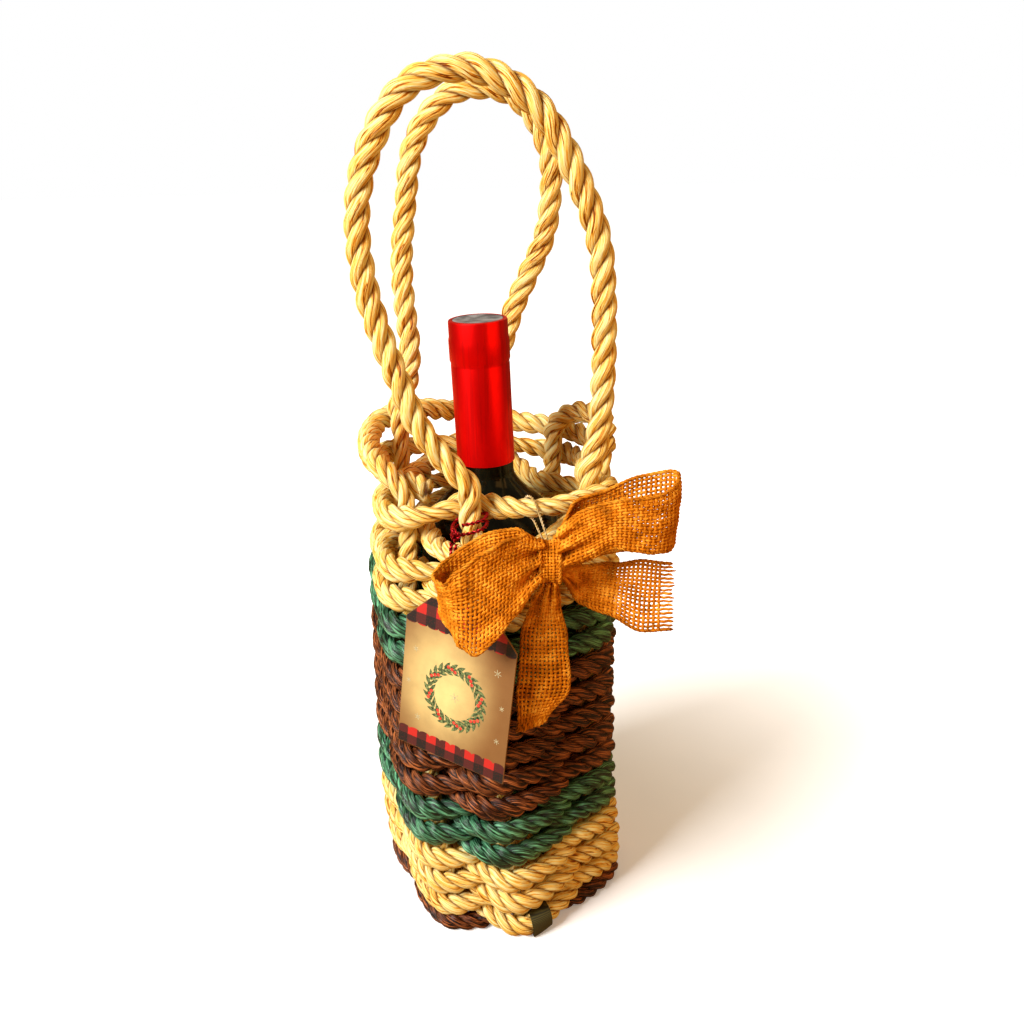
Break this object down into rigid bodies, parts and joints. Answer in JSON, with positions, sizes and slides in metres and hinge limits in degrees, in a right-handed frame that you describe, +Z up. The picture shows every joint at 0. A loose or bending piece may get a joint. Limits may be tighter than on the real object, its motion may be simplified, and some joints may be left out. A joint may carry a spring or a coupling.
{
  "type": "woven rope bottle wrap",
  "caption": "Bottle wrap woven from coloured laid rope, with swinging rope handles, a burlap bow, a card tag on a cord and a lift-out wine bottle",
  "frame": {"origin": "on the ground plane, at the middle of the flat underside of the base coil", "axes": "+Z up out of the wrap; -Y toward the side with the bow and the tag; +X to the right seen from that side"},
  "size_m": [0.1535, 0.17, 0.439],
  "materials": {
    "natural_rope": "laid natural rope, straw yellow",
    "green_rope": "laid rope dyed dark green, slight sheen",
    "brown_rope": "laid rope dyed red-brown",
    "burlap": "open-weave burlap ribbon, golden brown",
    "twine": "thin pale twine",
    "red_cord": "twisted red metallic cord",
    "tag_card": "printed cream card",
    "band_cloth": "olive woven tape",
    "bottle_glass": "dark green-black bottle glass",
    "wine": "dark red wine, stood in for by a solid",
    "cork": "natural cork",
    "foil": "red metallic foil capsule",
    "foil_disc": "pale blue-grey foil disc"
  },
  "bodies": {
    "wrap": {"base_coil": "brown_rope", "weave_natural_low": "natural_rope", "weave_green_low": "green_rope", "weave_brown": "brown_rope", "weave_green_high": "green_rope", "weave_rim": "natural_rope", "stake_front_left": "natural_rope", "stake_front_right": "natural_rope", "stake_back_right": "natural_rope", "stake_back_left": "natural_rope", "stake_left_back_rope": "natural_rope", "stake_right_loop": "natural_rope", "bow_loop_left": "burlap", "bow_loop_right": "burlap", "bow_tail_right": "burlap", "bow_tail_centre": "burlap", "bow_knot": "burlap", "bow_twine": "twine", "tag_cord_loop": "red_cord", "tag_cord_knot": "red_cord", "rope_band": "band_cloth"},
    "front_handle": {"handle_front": "natural_rope"},
    "back_handle": {"handle_back": "natural_rope"},
    "tag": {"hang_tag": "tag_card", "tag_cord_strand": "red_cord"},
    "bottle": {"bottle_glass": "bottle_glass", "wine_fill": "wine", "bottle_cork": "cork", "capsule_foil": "foil", "capsule_disc": "foil_disc"}
  },
  "joints": [
    {"name": "handle_front_swing", "type": "hinge", "parent": "wrap", "child": "front_handle", "pos_m": [0.01616, -0.04323, 0.256], "axis": [0.9367, 0.3502, 0], "range_deg": [0, 60]},
    {"name": "handle_back_swing", "type": "hinge", "parent": "wrap", "child": "back_handle", "pos_m": [-0.02968, 0.03939, 0.274], "axis": [-0.7987, -0.6018, 0], "range_deg": [0, 50]},
    {"name": "tag_swing", "type": "hinge", "parent": "wrap", "child": "tag", "pos_m": [-0.01897, -0.06579, 0.237], "axis": [-0.5279, -0.8448, 0.0872], "range_deg": [-5, 5]},
    {"name": "bottle_lift", "type": "slide", "parent": "wrap", "child": "bottle", "axis": [-0.0284, 0.0078, 0.9996], "range_m": [0, 0.25]}
  ]
}
